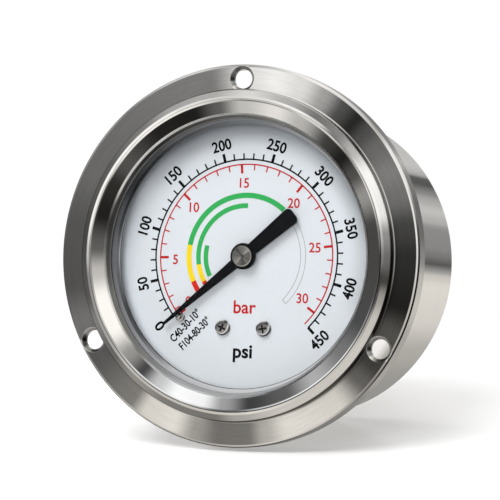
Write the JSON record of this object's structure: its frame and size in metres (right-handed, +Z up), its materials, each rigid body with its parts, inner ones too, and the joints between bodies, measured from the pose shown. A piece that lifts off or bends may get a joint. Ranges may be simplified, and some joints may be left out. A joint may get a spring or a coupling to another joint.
{
  "type": "pressure gauge",
  "caption": "Panel pressure gauge with a liquid-filled round steel case, front flange, dial and pointer, toothed movement, Bourdon tube and rear threaded stem.",
  "frame": {"origin": "centre of the flange's circle of fixing holes, in the plane of the flange's rear face, 1 mm behind its front face", "axes": "+Y runs along the gauge's axis from the dial to the rear stem, +X is to the right of a reader of the dial, +Z is up"},
  "size_m": [0.085, 0.0797, 0.085],
  "materials": {
    "stainless": "stainless steel sheet, brushed",
    "polished_steel": "stainless steel sheet, polished",
    "window": "clear flat instrument glass",
    "black_rubber": "moulded, matt",
    "spacer_plastic": "moulded, light grey",
    "dial_white": "white satin paint with a printed scale",
    "pointer_black": "black satin paint",
    "small_steel": "turned, bright",
    "spring_bronze": "drawn bronze, satin",
    "brass": "machined, satin"
  },
  "bodies": {
    "housing": {"case_body": "stainless", "front_flange": "stainless", "bezel_ring": "polished_steel", "window": "window", "window_gasket": "black_rubber", "spacer_ring": "spacer_plastic", "seat_ring": "stainless", "dial_plate": "dial_white", "dial_screws": "small_steel", "stop_pin": "small_steel", "hairspring": "spring_bronze", "hairspring_stud": "brass", "movement_front_plate": "brass", "movement_back_plate": "brass", "movement_pillars": "brass", "movement_screws": "small_steel", "block_screws": "small_steel", "dial_posts": "brass", "tip_pin": "small_steel", "bourdon_tube": "spring_bronze", "tube_tip": "brass", "socket": "brass", "restrictor": "brass", "case_seal": "black_rubber", "case_screws": "small_steel", "filler_plug": "black_rubber"},
    "sector": {"sector_gear": "brass", "sector_arbor": "small_steel", "sector_pin": "small_steel"},
    "pointer": {"pinion_arbor": "small_steel", "pointer": "pointer_black", "pointer_cap": "small_steel", "pointer_bush": "brass", "hairspring_collet": "brass"},
    "link": {"link": "small_steel"}
  },
  "joints": [
    {"name": "sector_swing", "type": "hinge", "parent": "housing", "child": "sector", "pos_m": [0, 0, -0.01847], "axis": [0, -1, 0], "range_deg": [0, 36.75], "stiffness_Nm_per_rad": 0.02, "springref_deg": -1.15},
    {"name": "pointer_spin", "type": "hinge", "parent": "housing", "child": "pointer", "pos_m": [0, 0, 0], "axis": [0, 1, 0], "range_deg": [0, 264.6]},
    {"name": "link_turn", "type": "hinge", "parent": "sector", "child": "link", "pos_m": [-0.00012, 0, -0.02297], "axis": [0, -1, 0], "range_deg": [-36.75, 0]}
  ],
  "couplings": [
    {"joint": "pointer_spin", "follows": "sector_swing", "ratio": 7.2},
    {"joint": "link_turn", "follows": "sector_swing", "ratio": -1}
  ]
}
